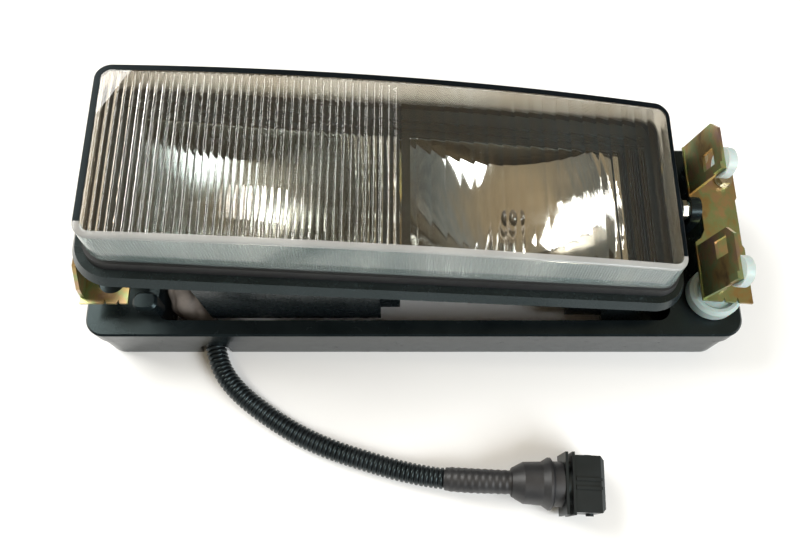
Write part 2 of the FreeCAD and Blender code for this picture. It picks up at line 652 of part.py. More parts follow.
def pivot_stud(side):
    """Shoulder stud: thread in the housing's ear, hexagon collar, journal in the bush."""
    ear = RIGHT_EAR if side > 0 else LEFT_EAR
    face = ear[1] if side > 0 else ear[0]
    collar = 3.6 if side > 0 else 0.9
    pillar = PILLAR_SPANS[0] if side > 0 else PILLAR_SPANS[1]
    tip = pillar[1] if side > 0 else pillar[0]
    hexagon = [Vector(face, PIVOT_Y + 6 * math.cos(math.radians(60 * k + 30)),
                      PIVOT_Z + 6 * math.sin(math.radians(60 * k + 30))) for k in range(6)]
    nut = Part.Face(Part.makePolygon(hexagon + hexagon[:1])).extrude(Vector(side * collar, 0, 0))
    thread = rod((face, PIVOT_Y, PIVOT_Z), (-side, 0, 0), 3, ear[1] - ear[0])
    journal = rod((face, PIVOT_Y, PIVOT_Z), (side, 0, 0), JOURNAL_R, abs(tip - face) + 1.5)
    return fuse([nut, thread, journal])


# ---------------------------------------------------------------- lens, seal and bezel
def lens():
    return lens_body(0, 0).cut(lens_body(-LENS_WALL, LENS_WALL + 0.2))


def lens_seal():
    outer = rim_slab(-LIP_TOP_DROP, 0, SEAL_GROW, SEAL_GROW - 1.4)
    inner = rim_slab(-LIP_TOP_DROP - 1, 1, LENS_DRAFT - LENS_WALL, LENS_DRAFT - LENS_WALL)
    return outer.cut(inner)


def inner_bezel():
    """Stepped black surround with one window for each reflector."""
    drop = -BEZEL_DROP - BEZEL_THICK
    plate = rim_slab(drop, -BEZEL_DROP, TRAY_GROW - SHELL - 1.2, TRAY_GROW - SHELL - 1.0)
    y0, y1 = OPTIC_Y - OPTIC_HALF, OPTIC_Y + OPTIC_HALF
    steps = []
    for rise, y_start in ((2.5, y1 + 4), (5.0, y1 + 8)):
        block = rim_slab(-BEZEL_DROP - 0.5, -BEZEL_DROP + rise, -2.0, -2.0)
        steps.append(block.common(box(-165, 146, y_start, 80, 0, 160)))
    slats = rim_slab(-BEZEL_DROP - 0.5, -BEZEL_DROP + 4, -2.0, -2.0)
    for x in (133.5, 137.0, 140.5, 144.0):
        steps.append(slats.common(box(x, x + 1.6, y0, y1, 0, 160)))
    bezel = fuse([plate] + steps)
    for x0, x1 in (FOG_SPAN, DRIVING_SPAN):
        bezel = bezel.cut(box(x0, x1, y0, y1, 0, 160))
    return bezel


# ---------------------------------------------------------------- reflectors and bulbs
def reflector(axis_x, apex_z, focal, span):
    """Paraboloid dish with flat top and bottom walls and a neck for the bulb."""
    x0, x1 = span
    y0, y1 = OPTIC_Y - OPTIC_HALF, OPTIC_Y + OPTIC_HALF
    wall = REFLECTOR_WALL
    outer = box(x0 - wall, x1 + wall, y0 - wall, y1 + wall, 0, 160)
    outer = outer.common(above_paraboloid(axis_x, apex_z - wall, focal)).common(below_bezel())
    inner = box(x0, x1, y0, y1, 0, 170).common(above_paraboloid(axis_x, apex_z, focal))
    neck = rod((axis_x, OPTIC_Y, apex_z - 7), (0, 0, 1), 13, 10)
    shell = outer.fuse(neck).cut(inner)
    return shell.cut(rod((axis_x, OPTIC_Y, 0), (0, 0, 1), BULB_HOLE_R, 160))


def bulb_base(axis_x, apex_z):
    """Metal base: flange against the back of the neck, sleeve through the hole."""
    flange = rod((axis_x, OPTIC_Y, apex_z - 8.5), (0, 0, 1), 11, 1.5)
    sleeve = ring((axis_x, OPTIC_Y, apex_z - 8), (0, 0, 1), 7.4, 5.6, 16)
    contact = box(axis_x - 3, axis_x + 3, OPTIC_Y - 0.4, OPTIC_Y + 0.4, apex_z - 15, apex_z - 8)
    return fuse([flange, sleeve, contact])


def bulb_glass(axis_x, apex_z):
    """Capsule standing in the base."""
    foot = apex_z - 4
    tube = rod((axis_x, OPTIC_Y, foot), (0, 0, 1), 5.5, 29)
    dome = Part.makeSphere(5.5, Vector(axis_x, OPTIC_Y, foot + 29))
    return fuse([tube, dome])


def bulb_shield(axis_x, apex_z):
    """Cap in front of the fog bulb, standing on two strips from the neck."""
    z0, z1 = apex_z + 32, apex_z + 44
    cup = ring((axis_x, OPTIC_Y, z0), (0, 0, 1), 11.5, 10.7, z1 - z0)
    front = rod((axis_x, OPTIC_Y, z1 - 0.8), (0, 0, 1), 11.5, 0.8)
    legs = []
    for x in (axis_x - 11.4, axis_x + 10.6):
        foot_z = apex_z + 11.4 ** 2 / (4 * FOG_FOCAL) + 0.4
        legs.append(box(x, x + 0.8, OPTIC_Y - 2, OPTIC_Y + 2, foot_z, z0 + 1))
    return fuse([cup, front] + legs)


def bulb_clip(axis_x, apex_z):
    """Sprung wire loop across the flange; both its ends meet in the hinge block."""
    z = apex_z - 10.2
    x0, x1 = axis_x - 14, axis_x + 12
    low, high = OPTIC_Y - 6.5, OPTIC_Y + 6.5
    loop = [(x0, OPTIC_Y - 0.5, z), (x0, low, z), (x1, low, z), (x1, high, z), (x0, high, z),
            (x0, OPTIC_Y + 0.5, z)]
    return tube_along(route_wire(loop, [2.5] * 4), CLIP_WIRE_R)


def clip_hinge(axis_x, apex_z):
    """Small block under the neck that holds the clip's hinge wire with running clearance."""
    z = apex_z - 10.2
    block = box(axis_x - 16.5, axis_x - 11.2, OPTIC_Y - 3.7, OPTIC_Y + 3.7, z - 2.6, apex_z - 7)
    bore = rod((axis_x - 14, OPTIC_Y - 10, z), (0, 1, 0), CLIP_WIRE_R + RUNNING_GAP, 20)
    return block.cut(bore)


def rear_cover(axis_x):
    """Round cover with a grip rib and three hooks that turn in front of the mouth's tabs."""
    disc = rod((axis_x, OPTIC_Y, COVER_BACK_Z), (0, 0, 1), 35.5, 2.5)
    grip = box(axis_x - 20, axis_x + 20, OPTIC_Y - 2.5, OPTIC_Y + 2.5, 1.5, COVER_BACK_Z + 1)
    hooks = []
    for k in range(3):
        hooks.append(arc_block(axis_x, MOUTH_R + 2.8, 35.5, COVER_BACK_Z, 23, 120 * k, 30))
        hooks.append(arc_block(axis_x, MOUTH_R + 0.5, MOUTH_R + 3.2, 20.5, 23, 120 * k, 30))
    return fuse([disc, grip] + hooks)


def cover_seal(axis_x):
    height = MOUTH_END_Z - COVER_BACK_Z - 2.5 - 0.3
    return ring((axis_x, OPTIC_Y, MOUTH_END_Z - height), (0, 0, 1), MOUTH_R - 0.3, MOUTH_BORE_R + 0.3, height)


def bulb_plug(axis_x, apex_z):
    """Socket pushed on the bulb's flat contact."""
    z1 = apex_z - 10.2
    body = box(axis_x - 4.5, axis_x + 4.5, OPTIC_Y - 3.2, OPTIC_Y + 3.2, z1 - 7.5, z1)
    return body.cut(box(axis_x - 3.1, axis_x + 3.1, OPTIC_Y - 0.5, OPTIC_Y + 0.5, z1 - 5, z1 + 1))


def breather():
    """Vent cap on the back of the fog chamber."""
    x, y, z = BREATHER_FOOT
    stem = rod((x, y, z - 2), (0, 0, 1), 3.4, 5)
    cap = rod((x, y, z - 9), (0, 0, 1), 6, 9.9)
    return fuse([stem, cap])


# ---------------------------------------------------------------- lead, gaiter and conduit
def lamp_lead():
    """Short sleeved lead from the housing wall into the gaiter, free of the gaiter's bore."""
    return tube_along(route_wire(LEAD_POINTS, route_radii(LEAD_POINTS)), LEAD_R)


def lead_gland():
    """Rubber ring in the neck's wall round the lead."""
    face_x = FOG_X - MOUTH_R
    flange = rod((face_x - 2.2, LEAD_Y, LEAD_Z), (1, 0, 0), LEAD_GLAND_R, 2.2)
    body = rod((face_x - 0.4, LEAD_Y, LEAD_Z), (1, 0, 0), LEAD_GLAND_R, 4)
    return flange.fuse(body).cut(lamp_lead())


def gaiter_loft(shrink, overrun):
    """Loft through the gaiter's stations, carried past its open end by the overrun."""
    loops = []
    for index, (y, x, z, radius) in enumerate(GAITER_STATIONS):
        centre = Vector(x, y + overrun if index == 0 else y, z)
        loops.append(Part.Wire(Part.Circle(centre, Vector(0, 1, 0), radius - shrink).toShape()))
    return Part.makeLoft(loops, True, False)


def harness_gaiter(conduit_solid):
    """Soft tapered boot that gathers the lead into the conduit behind the bottom bar."""
    bore = gaiter_loft(2.0, 1.0).common(box(-170, -100, -52, 0, 0, 60))
    return gaiter_loft(0, 0).cut(bore).cut(conduit_solid)


def conduit_wire():
    return route_wire(CONDUIT_ROUTE, route_radii(CONDUIT_ROUTE))


def shrink_sleeve(conduit_solid):
    """Heat-shrunk sleeve over the last stretch of the conduit."""
    solid = tube_along(conduit_wire(), SLEEVE_R)
    return solid.common(box(SLEEVE_START_X, 200, -200, -100, -10, 60)).cut(conduit_solid)


def place_plug(shape):
    """Carry a shape built along +X from the origin to the end of the conduit."""
    shape.rotate(Vector(0, 0, 0), Vector(0, 0, 1), PLUG_YAW)
    shape.translate(Vector(*CONDUIT_ROUTE[-1]))
    return shape


def connector_boot(sleeve_solid):
    profile = [(-1, 0), (-1, 8.6), (6, 12.4), (17, 13.0), (21, 15.6), (22.4, 15.6), (24, 13.4),
               (29.5, 13.4), (29.5, 0)]
    return place_plug(revolve(profile, (0, 0, 0), (1, 0, 0))).cut(sleeve_solid)


def connector_lock_ring():
    """Locking collar: two thin flanges on a short barrel."""
    barrel = rod((29.5, 0, 0), (1, 0, 0), 12.5, 6)
    first = box(30, 31.6, -18.2, 18.2, -13, 13)
    second = box(34, 35.5, -18.2, 18.2, -13.6, 13.6)
    return place_plug(fuse([barrel, first, second]))


def connector_body():
    """Keyed shell with a socket, two long ribs front and back and a nub on each side."""
    shell = box(35.5, 53.5, -16.5, 16.5, -12.5, 12.5)
    shell = chamfer_where(shell, 2.5, lambda e: e.BoundBox.XMin > 53.4)
    ribs = []
    for z in (-13.6, 11.5):
        for y in (-3.4, 1.6):
            ribs.append(box(36, 51.5, y, y + 1.8, z, z + 2.1))
    nubs = [rod((46, -18, 0), (0, 1, 0), 2.4, 36)]
    room = box(40, 60, -13.5, 13.5, -9.5, 9.5)
    return place_plug(fuse([shell] + ribs + nubs).cut(room))


def connector_insert():
    block = box(40, 42.5, -13.4, 13.4, -9.4, 9.4)
    return place_plug(block.cut(fuse(pin_rods(39, 44))))


def connector_pins():
    return place_plug(Part.makeCompound(pin_rods(40, 46.5)))


def pin_rods(x0, x1):
    rods = []
    for row_z in (-4.5, 4.5):
        for k in range(2):
            rods.append(rod((x0, -5.5 + 11 * k, row_z), (1, 0, 0), 1.3, x1 - x0))
    return rods


# ---------------------------------------------------------------- build
def build():
    conduit = tube_along(conduit_wire(), CONDUIT_R)
    sleeve_full = tube_along(conduit_wire(), SLEEVE_R)
    nodes = {
        **frame_sections(),
        "pivot_bushes": pivot_bushes(),
        "bracket_right": bracket_right(),
        "bracket_left": bracket_left(),
        "bracket_screws": bracket_screws(),
        "lug_nut_upper": lug_nut(UPPER_LUG[0]),
        "lug_nut_lower": lug_nut(LOWER_LUG[0]),
        "adjuster_wheel": adjuster_wheel(),
        "adjuster_spindle": adjuster_spindle(),
        "adjuster_nut": adjuster_nut(),
        **housing_sections(),
        "pivot_stud_right": pivot_stud(1),
        "pivot_stud_left": pivot_stud(-1),
        "lens": lens(),
        "lens_seal": lens_seal(),
        "inner_bezel": inner_bezel(),
        "fog_bulb_shield": bulb_shield(FOG_X, FOG_APEX_Z),
        "breather": breather(),
        "lamp_lead": lamp_lead(),
        "lead_gland": lead_gland(),
        "harness_gaiter": harness_gaiter(conduit),
        "conduit": conduit,
        "shrink_sleeve": shrink_sleeve(conduit),
        "connector_boot": connector_boot(sleeve_full),
        "connector_lock_ring": connector_lock_ring(),
        "connector_body": connector_body(),
        "connector_insert": connector_insert(),
        "connector_pins": connector_pins(),
    }
    for name, (axis_x, apex_z, focal, span) in LAMPS.items():
        nodes[name + "_reflector"] = reflector(axis_x, apex_z, focal, span)
        nodes[name + "_bulb_base"] = bulb_base(axis_x, apex_z)
        nodes[name + "_bulb_glass"] = bulb_glass(axis_x, apex_z)
        nodes[name + "_bulb_plug"] = bulb_plug(axis_x, apex_z)
        nodes[name + "_clip_hinge"] = clip_hinge(axis_x, apex_z)
        nodes[name + "_bulb_clip"] = bulb_clip(axis_x, apex_z)
        nodes[name + "_rear_cover"] = rear_cover(axis_x)
        nodes[name + "_cover_seal"] = cover_seal(axis_x)
    os.makedirs("parts", exist_ok=True)
    for name, shape in nodes.items():
        shape.exportStep("parts/" + name + ".step")
        solids = len(shape.Solids)
        print(name, "valid" if shape.isValid() else "NOT VALID", solids, "solids", round(shape.Volume), "mm3")
    radii = [round(r, 1) for r in route_radii(CONDUIT_ROUTE)]
    length = conduit_wire().Length
    print("conduit bend radii", radii)
    print("conduit length", round(length, 1), "volume / (section x length)",
          round(conduit.Volume / (math.pi * CONDUIT_R ** 2 * length), 4))


build()
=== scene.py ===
import bmesh
import bpy
import math
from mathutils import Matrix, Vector
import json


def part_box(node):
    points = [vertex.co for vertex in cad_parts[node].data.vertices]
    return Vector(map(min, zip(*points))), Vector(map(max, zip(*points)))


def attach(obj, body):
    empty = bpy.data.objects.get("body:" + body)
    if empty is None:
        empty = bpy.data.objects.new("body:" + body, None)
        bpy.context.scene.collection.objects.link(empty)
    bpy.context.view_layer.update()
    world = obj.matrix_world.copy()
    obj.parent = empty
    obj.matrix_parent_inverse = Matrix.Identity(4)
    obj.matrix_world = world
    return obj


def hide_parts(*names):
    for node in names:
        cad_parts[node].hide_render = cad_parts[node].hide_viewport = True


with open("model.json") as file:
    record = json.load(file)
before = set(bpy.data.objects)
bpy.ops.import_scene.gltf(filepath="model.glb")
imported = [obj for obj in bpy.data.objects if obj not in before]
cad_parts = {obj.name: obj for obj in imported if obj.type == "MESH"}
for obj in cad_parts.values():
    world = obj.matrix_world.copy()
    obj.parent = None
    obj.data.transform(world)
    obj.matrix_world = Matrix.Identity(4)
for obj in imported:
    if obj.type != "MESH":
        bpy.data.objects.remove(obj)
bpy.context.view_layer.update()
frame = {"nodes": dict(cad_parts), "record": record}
MM = 0.001


# ------------------------------------------------------------------ camera and cord
CAMERA_TILT = math.radians(19.5)        # away from straight down
CAMERA_PLACE = (-0.0086, -0.196, 0.500)
CAMERA_LENS = 34.65


def add_camera():
    data = bpy.data.cameras.new("camera")
    data.lens = CAMERA_LENS
    data.sensor_width = 36.0
    data.clip_start = 0.01
    camera = bpy.data.objects.new("camera", data)
    camera.location = CAMERA_PLACE
    camera.rotation_euler = (CAMERA_TILT, 0, 0)
    bpy.context.scene.collection.objects.link(camera)
    bpy.context.scene.camera = camera


add_camera()


def mesh_object(name, vertices, faces, body, smooth_angle=35):
    """New mesh piece on a body, smooth except at edges sharper than the angle."""
    mesh = bpy.data.meshes.new(name)
    mesh.from_pydata([tuple(v) for v in vertices], [], faces)
    mesh.validate()
    tidy = bmesh.new()
    tidy.from_mesh(mesh)
    bmesh.ops.remove_doubles(tidy, verts=tidy.verts, dist=1e-7)
    bmesh.ops.recalc_face_normals(tidy, faces=tidy.faces)
    tidy.to_mesh(mesh)
    tidy.free()
    mesh.shade_smooth()
    mesh.set_sharp_from_angle(angle=math.radians(smooth_angle))
    piece = bpy.data.objects.new(name, mesh)
    bpy.context.scene.collection.objects.link(piece)
    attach(piece, body)
    return piece


CONDUIT_RADIUS = 6.5 * MM
CONDUIT_PITCH = 3.0 * MM
CONDUIT_GROOVE = 1.0 * MM
SLEEVE_RADIUS = 7.8 * MM
SLEEVE_START_X = 19 * MM
CONDUIT_ROUTE = [
    (-132.7, -59.0, 11.4),
    (-130.3, -68.0, 8.0),
    (-125.0, -86.5, 6.6),
    (-112.5, -101.5, 6.6),
    (-93.5, -115.8, 6.6),
    (-73.5, -128.0, 6.6),
    (-53.0, -137.0, 6.6),
    (-31.0, -144.0, 6.6),
    (-8.0, -150.6, 6.9),
    (13.0, -154.8, 9.6),
    (36.0, -157.0, 14.4),
    (60.0, -157.9, 16.2),
]


def spline_points(name, route):
    """Points along the NURBS spline whose control points are the route."""
    curve = bpy.data.curves.new(name, "CURVE")
    curve.dimensions = "3D"
    curve.resolution_u = 48
    spline = curve.splines.new("NURBS")
    spline.points.add(len(route) - 1)
    for point, place in zip(spline.points, route):
        point.co = (*[c * MM for c in place], 1)
    spline.order_u = 3
    spline.use_endpoint_u = True
    holder = bpy.data.objects.new(name, curve)
    bpy.context.scene.collection.objects.link(holder)
    bpy.context.view_layer.update()
    line = bpy.data.meshes.new_from_object(holder)
    points = [v.co.copy() for v in line.vertices]
    bpy.data.objects.remove(holder)
    bpy.data.meshes.remove(line)
    return points


def stations_along(points, step):
    """(distance, place, direction) at every step along a polyline."""
    stations, travelled, wanted = [], 0.0, 0.0
    for a, b in zip(points, points[1:]):
        length = (b - a).length
        while length > 0 and wanted <= travelled + length:
            place = a.lerp(b, (wanted - travelled) / length)
            stations.append((wanted, place, (b - a).normalized()))
            wanted += step
        travelled += length
    return stations


def tube(name, stations, radius_at, sides, body):
    """Capped tube whose radius is a function of the distance along it."""
    vertices, faces = [], []
    for distance, place, direction in stations:
        side = direction.cross(Vector((0, 0, 1))).normalized()
        up = side.cross(direction)
        radius = radius_at(distance)
        for k in range(sides):
            turn = 2 * math.pi * k / sides
            vertices.append(place + (side * math.cos(turn) + up * math.sin(turn)) * radius)
    for ring in range(len(stations) - 1):
        for k in range(sides):
            a, b = ring * sides + k, ring * sides + (k + 1) % sides
            faces.append((a, b, b + sides, a + sides))
    faces.append(tuple(range(sides)))
    faces.append(tuple(range((len(stations) - 1) * sides, len(stations) * sides)))
    return mesh_object(name, vertices, faces, body, 50)


def conduit_radius(distance):
    """Rounded crests with narrower grooves between them."""
    phase = (distance / CONDUIT_PITCH) % 1.0
    groove = max(0.0, math.cos(2 * math.pi * phase) + 0.05) / 1.05
    return CONDUIT_RADIUS - CONDUIT_GROOVE * groove ** 0.7


def sleeve_radius(distance):
    """Shrunk on, so the conduit's crests still show through, with a soft rolled start."""
    ripple = 0.16 * MM * math.cos(2 * math.pi * distance / (1.35 * CONDUIT_PITCH))
    start = 0.5 * MM * math.exp(-distance / (1.2 * MM))
    waist = 0.35 * MM * math.sin(distance / (9 * MM))
    return SLEEVE_RADIUS - 0.62 * MM + ripple - start + waist * 0.4


def add_conduit():
    points = spline_points("conduit_line", CONDUIT_ROUTE)
    stations = stations_along(points, 0.375 * MM)
    piece = tube("conduit_corrugated", stations, conduit_radius, 40, "carrier")
    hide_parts("conduit")
    covered = [s for s in stations if s[1].x > SLEEVE_START_X]
    first = covered[0][0]
    covered = [(d - first, place, direction) for d, place, direction in covered]
    sleeve = tube("sleeve_shrunk", covered, sleeve_radius, 40, "carrier")
    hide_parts("shrink_sleeve")
    path = [place for _, place, _ in stations[::8]] + [stations[-1][1]]
    length = sum((b - a).length for a, b in zip(path, path[1:]))
    return piece, sleeve, path, length


conduit, sleeve, conduit_path, conduit_length = add_conduit()

GAITER_WALL = 2.0 * MM
GAITER_STATIONS = [                     # (y, x, z, radius), from its open end to the frame
    (-28.0, -143.0, 30.0, 11.5),
    (-41.0, -144.0, 31.0, 13.0),
    (-52.0, -141.5, 25.0, 13.0),
    (-58.5, -135.0, 15.5, 11.5),
    (-62.6, -131.4, 10.2, 9.2),
]


def gaiter_station(share):
    """Smoothly interpolated (y, x, z, radius) in metres at a share from 0 to 1."""
    last = len(GAITER_STATIONS) - 1
    at = share * last
    k = min(int(at), last - 1)
    t = at - k
    rows = [GAITER_STATIONS[min(max(k + i, 0), last)] for i in (-1, 0, 1, 2)]
    weights = (-t / 2 + t * t - t ** 3 / 2, 1 - 2.5 * t * t + 1.5 * t ** 3,
               t / 2 + 2 * t * t - 1.5 * t ** 3, (t ** 3 - t * t) / 2)
    return [sum(w * row[i] for w, row in zip(weights, rows)) * MM for i in range(4)]


def gaiter_crease(share, turn):
    """How far the soft wall sinks in: slanting pleats crossed by soft folds."""
    fade = math.sin(math.pi * min(1.0, share * 1.06)) ** 0.5 if share < 0.94 else 0.0
    pleat = max(0.0, math.sin(5 * turn + 2.6 * math.sin(5.0 * share))) ** 2
    fold = 0.5 - 0.5 * math.cos(2 * math.pi * (4.2 * share + 0.22 * math.sin(2 * turn)))
    return (1.3 * pleat + 1.1 * fold) * fade * MM


def gaiter_ring(share, sides, sunk, creased=True):
    y, x, z, radius = gaiter_station(share)
    ring = []
    for k in range(sides):
        turn = 2 * math.pi * k / sides
        reach = radius - sunk - (gaiter_crease(share, turn) if creased else 0.0)
        ring.append(Vector((x + reach * math.cos(turn), y, z + reach * math.sin(turn))))
    return ring


def add_gaiter():
    """Creased boot with a rolled open end and a closed floor inside."""
    sides, outer_rows, inner_rows = 72, 90, 40
    rings = [gaiter_ring(1 - k / outer_rows, sides, 0.0) for k in range(outer_rows + 1)]
    floor_share = 0.47                  # how far down the inner wall reaches
    rings += [gaiter_ring(floor_share * k / inner_rows, sides, GAITER_WALL)
              for k in range(inner_rows + 1)]
    faces = [tuple(range(sides))]
    for row in range(len(rings) - 1):
        for k in range(sides):
            a, b = row * sides + k, row * sides + (k + 1) % sides
            faces.append((a, b, b + sides, a + sides))
    faces.append(tuple(range((len(rings) - 1) * sides, len(rings) * sides)))
    vertices = [v for ring in rings for v in ring]
    piece = mesh_object("harness_boot_creased", vertices, faces, "carrier", 60)
    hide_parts("harness_gaiter")
    return piece


gaiter = add_gaiter()


# ------------------------------------------------------------------ materials
class Surface:
    """A procedural Principled material put together step by step."""

    def __init__(self, name):
        self.material = bpy.data.materials.new(name)
        self.material.use_nodes = True
        self.nodes = self.material.node_tree.nodes
        self.links = self.material.node_tree.links
        self.shader = self.nodes["Principled BSDF"]
        self.place = self.nodes.new("ShaderNodeTexCoord").outputs["Object"]

    def set(self, **values):
        for key, value in values.items():
            self.shader.inputs[key.replace("_", " ")].default_value = value
        return self

    def noise(self, scale, detail=4.0, stretch=None, roughness=0.5):
        texture = self.nodes.new("ShaderNodeTexNoise")
        texture.inputs["Scale"].default_value = scale
        texture.inputs["Detail"].default_value = detail
        texture.inputs["Roughness"].default_value = roughness
        place = self.place
        if stretch:
            mapping = self.nodes.new("ShaderNodeMapping")
            mapping.inputs["Scale"].default_value = stretch
            self.links.new(self.place, mapping.inputs["Vector"])
            place = mapping.outputs["Vector"]
        self.links.new(place, texture.inputs["Vector"])
        return texture.outputs["Fac"]

    def ramp(self, source, stops):
        ramp = self.nodes.new("ShaderNodeValToRGB")
        while len(ramp.color_ramp.elements) < len(stops):
            ramp.color_ramp.elements.new(0.5)
        for element, (position, colour) in zip(ramp.color_ramp.elements, stops):
            element.position = position
            element.color = (*colour, 1)
        self.links.new(source, ramp.inputs["Fac"])
        return ramp.outputs["Color"]

    def colour(self, source, stops):
        self.links.new(self.ramp(source, stops), self.shader.inputs["Base Color"])
        return self

    def rough(self, source, low, high):
        spread = self.nodes.new("ShaderNodeMapRange")
        spread.inputs["To Min"].default_value = low
        spread.inputs["To Max"].default_value = high
        self.links.new(source, spread.inputs["Value"])
        self.links.new(spread.outputs["Result"], self.shader.inputs["Roughness"])
        return self

    def bump(self, source, height, strength=0.5):
        bump = self.nodes.new("ShaderNodeBump")
        bump.inputs["Distance"].default_value = height
        bump.inputs["Strength"].default_value = strength
        self.links.new(source, bump.inputs["Height"])
        self.links.new(bump.outputs["Normal"], self.shader.inputs["Normal"])
        return self


def black_plastic(name, dark, light, rough_low, rough_high, specular=0.4):
    surface = Surface(name)
    surface.colour(surface.noise(38, 5), [(0.3, dark), (0.75, light)])
    surface.rough(surface.noise(150, 6), rough_low, rough_high)
    surface.bump(surface.noise(2600, 2), 0.00004, 0.35)
    # the teal specular tint is a painted reflection colour on the black plastic
    return surface.set(Specular_IOR_Level=specular, Specular_Tint=(0.74, 0.97, 1.0, 1.0)).material


def zinc_yellow():
    """Yellow zinc plating: gold with green and rose clouds."""
    surface = Surface("yellow_zinc")
    surface.colour(surface.noise(34, 6, (1.0, 0.75, 1.3), 0.62), [
        (0.30, (0.13, 0.085, 0.05)),
        (0.42, (0.36, 0.25, 0.10)),
        (0.50, (0.27, 0.33, 0.15)),
        (0.57, (0.42, 0.30, 0.15)),
        (0.66, (0.36, 0.23, 0.20)),
        (0.76, (0.24, 0.36, 0.27)),
    ])
    surface.rough(surface.noise(220, 6), 0.24, 0.48)
    surface.bump(surface.noise(900, 3), 0.00006, 0.3)
    return surface.set(Metallic=0.92).material


def steel(name, low, high, roughness):
    surface = Surface(name)
    surface.colour(surface.noise(120, 5), [(0.3, low), (0.7, high)])
    surface.rough(surface.noise(500, 4), roughness, roughness + 0.14)
    surface.bump(surface.noise(1800, 2), 0.00003, 0.3)
    return surface.set(Metallic=1.0).material


def nylon():
    surface = Surface("nylon_white")
    surface.colour(surface.noise(60, 4), [(0.3, (0.36, 0.45, 0.44)), (0.7, (0.50, 0.58, 0.56))])
    surface.rough(surface.noise(260, 4), 0.34, 0.5)
    surface.bump(surface.noise(1300, 2), 0.00004, 0.25)
    surface.set(Subsurface_Weight=0.35, Subsurface_Scale=0.004)
    return surface.material


def mirror(name, low, high, rough_low, rough_high):
    surface = Surface(name)
    surface.colour(surface.noise(26, 4), [(0.3, low), (0.7, high)])
    surface.rough(surface.noise(90, 5), rough_low, rough_high)
    surface.bump(surface.noise(60, 2, (1.0, 0.25, 1.0)), 0.0006, 0.10)
    return surface.set(Metallic=1.0).material


def clear_glass(name, tint, deep_tint, roughness, ior=1.5):
    surface = Surface(name)
    surface.colour(surface.noise(20, 3), [(0.35, tint), (0.7, deep_tint)])
    surface.bump(surface.noise(55, 2), 0.0002, 0.04)
    return surface.set(Transmission_Weight=1.0, Roughness=roughness, IOR=ior).material


def frosted_wall(name, stops, clearness):
    """Ribbed lens wall: partly clear, partly scattering in the given colours, which are painted
    light on the clear glass.
    """
    surface = Surface(name)
    surface.colour(surface.noise(24, 4, (1.0, 1.0, 0.4)), stops)
    surface.bump(surface.noise(420, 2), 0.0001, 0.2)
    return surface.set(Transmission_Weight=clearness, Roughness=0.12, IOR=1.49).material


def rubber(name, dark, light, rough_low=0.5, rough_high=0.72):
    surface = Surface(name)
    surface.colour(surface.noise(70, 6), [(0.3, dark), (0.72, light)])
    surface.rough(surface.noise(180, 5), rough_low, rough_high)
    surface.bump(surface.noise(700, 5), 0.0001, 0.4)
    return surface.material


def brass():
    surface = Surface("pin_brass")
    surface.colour(surface.noise(300, 3), [(0.3, (0.62, 0.45, 0.18)), (0.7, (0.80, 0.63, 0.30))])
    surface.rough(surface.noise(900, 3), 0.2, 0.36)
    return surface.set(Metallic=1.0).material


def floor_white():
    surface = Surface("floor_white")
    surface.colour(surface.noise(6, 3), [(0.3, (0.90, 0.90, 0.90)), (0.7, (0.92, 0.92, 0.92))])
    surface.rough(surface.noise(30, 3), 0.65, 0.75)
    return surface.set(Specular_IOR_Level=0.2).material


MATERIALS = {
    "carrier_plastic": black_plastic("carrier_black", (0.003, 0.005, 0.006),
                                     (0.008, 0.011, 0.012), 0.18, 0.32, 0.28),
    "housing_plastic": black_plastic("housing_black",
                                     (0.004, 0.006, 0.007), (0.010, 0.013, 0.015), 0.20, 0.34),
    "bezel_plastic": black_plastic("bezel_black",
                                   (0.006, 0.008, 0.010), (0.014, 0.018, 0.022), 0.25, 0.4),
    "cover_plastic": black_plastic("cover_black",
                                   (0.010, 0.011, 0.012), (0.020, 0.022, 0.024), 0.35, 0.5),
    "connector_plastic": black_plastic("connector_black",
                                       (0.006, 0.006, 0.007), (0.013, 0.013, 0.014), 0.3, 0.42),
    "conduit_plastic": black_plastic("conduit_black",
                                     (0.006, 0.007, 0.008), (0.015, 0.017, 0.019), 0.22, 0.36),
    "sleeve_rubber": rubber("sleeve_black",
                            (0.014, 0.014, 0.015), (0.030, 0.030, 0.032), 0.38, 0.55),
    "seal_rubber": rubber("seal_black", (0.006, 0.006, 0.007), (0.014, 0.014, 0.014)),
    "gaiter_rubber": rubber("gaiter_brown", (0.10, 0.085, 0.075), (0.27, 0.235, 0.21)),
    "bracket_steel": zinc_yellow(),
    "screw_steel": steel("screw_zinc", (0.40, 0.37, 0.28), (0.66, 0.62, 0.50), 0.22),
    "bulb_metal": steel("bulb_steel", (0.50, 0.50, 0.49), (0.72, 0.71, 0.69), 0.18),
    "clip_wire": steel("clip_spring", (0.45, 0.45, 0.44), (0.68, 0.67, 0.65), 0.2),
    "nylon": nylon(),
    "reflector_mirror": mirror("mirror_coat", (0.46, 0.455, 0.43), (0.62, 0.61, 0.58), 0.03, 0.10),
    "lens_glass": clear_glass("lens_clear", (0.97, 0.98, 0.96), (1.0, 1.0, 0.99), 0.0),
    "bulb_glass": clear_glass("bulb_clear", (0.98, 0.98, 0.98), (1.0, 1.0, 1.0), 0.0, 1.46),
    "pin_brass": brass(),
}


def paint(piece, *names):
    piece.data.materials.clear()
    for name in names:
        piece.data.materials.append(MATERIALS[name] if isinstance(name, str) else name)
    return piece


def paint_cad_nodes():
    for part in frame["record"]["subparts"]:
        piece = frame["nodes"][part["node"]]
        material = MATERIALS[part["material_slot"]]
        if not piece.data.materials:
            piece.data.materials.append(material)
        for index in range(len(piece.data.materials)):
            piece.data.materials[index] = material


paint_cad_nodes()
paint(conduit, "conduit_plastic")
paint(sleeve, "sleeve_rubber")
paint(gaiter, "gaiter_rubber")


